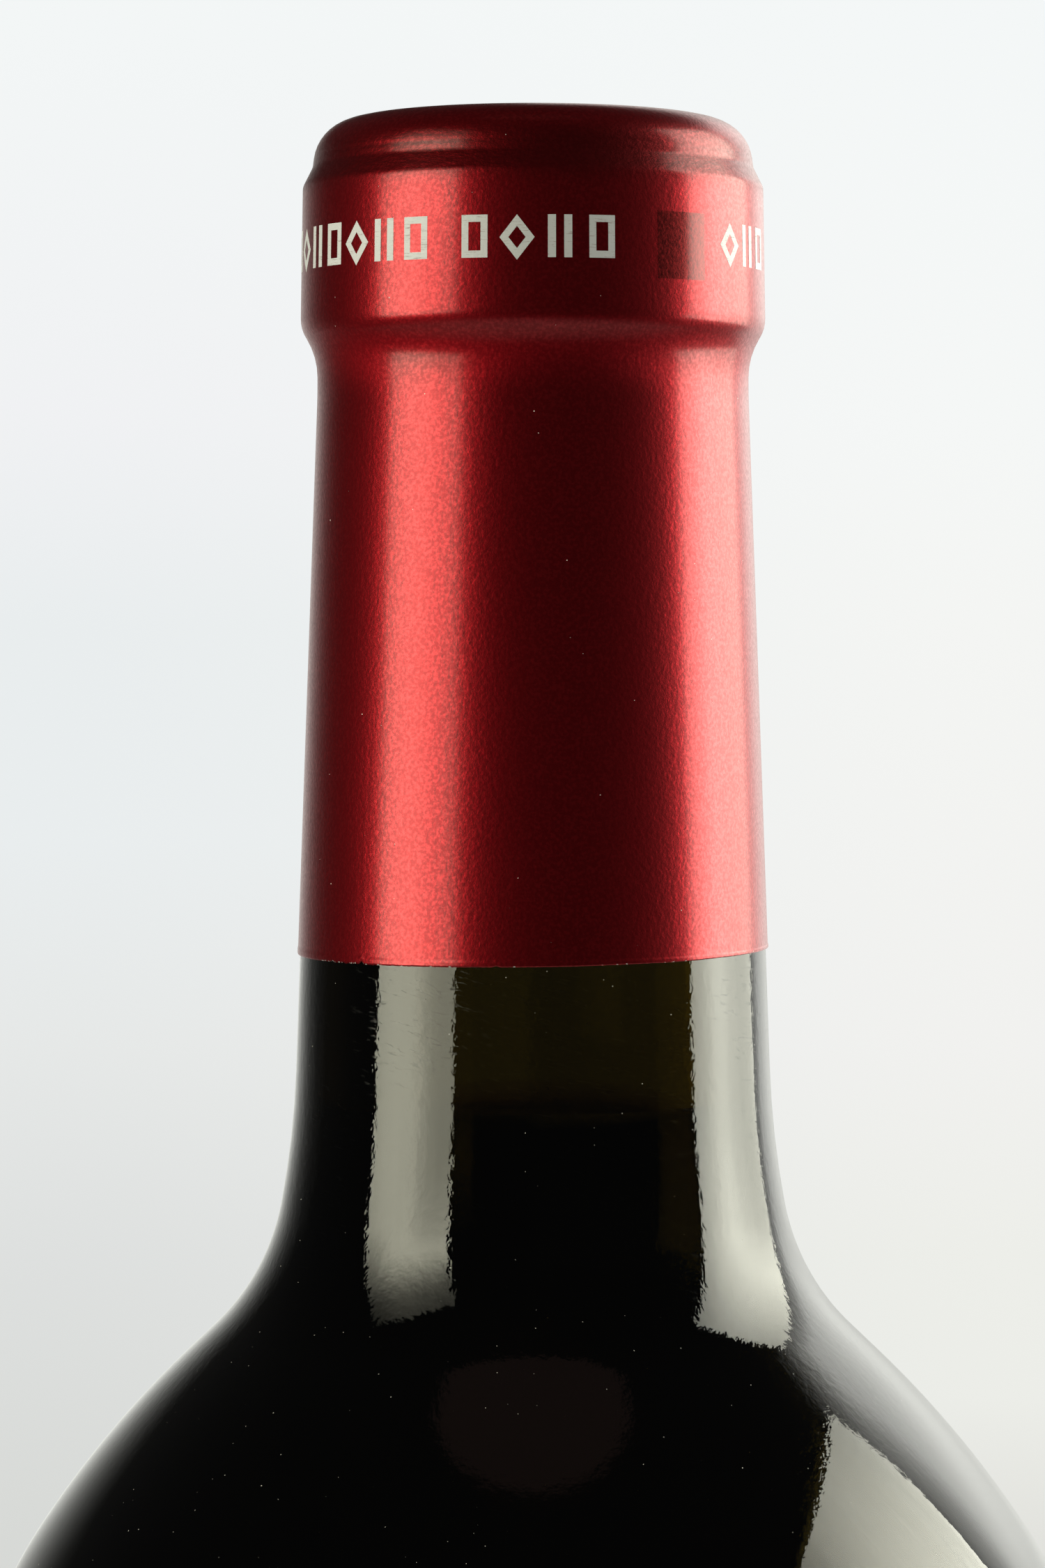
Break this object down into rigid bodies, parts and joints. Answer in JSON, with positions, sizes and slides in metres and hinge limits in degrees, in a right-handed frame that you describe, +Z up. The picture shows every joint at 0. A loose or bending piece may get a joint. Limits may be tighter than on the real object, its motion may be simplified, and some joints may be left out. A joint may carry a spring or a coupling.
{
  "type": "wine bottle",
  "caption": "Upright dark glass wine bottle with high shoulders and a hollow foot, filled with red wine, its mouth and neck under a spun red metal capsule.",
  "frame": {"origin": "middle of the foot, on the table", "axes": "+Z up along the bottle's axis; the front faces -Y"},
  "size_m": [0.0742, 0.0742, 0.3001],
  "materials": {
    "dark_glass": "polished dark olive-black glass, glossy, see-through only where it is thin",
    "red_wine": "clear deep ruby liquid, nearly black in the bottle",
    "red_foil": "satin metallic red lacquer over thin metal, faint grain",
    "white_ink": "thin matt white print",
    "dark_ink": "glossy dark red print"
  },
  "bodies": {
    "root": {"bottle": "dark_glass", "wine": "red_wine", "capsule": "red_foil"}
  },
  "joints": []
}
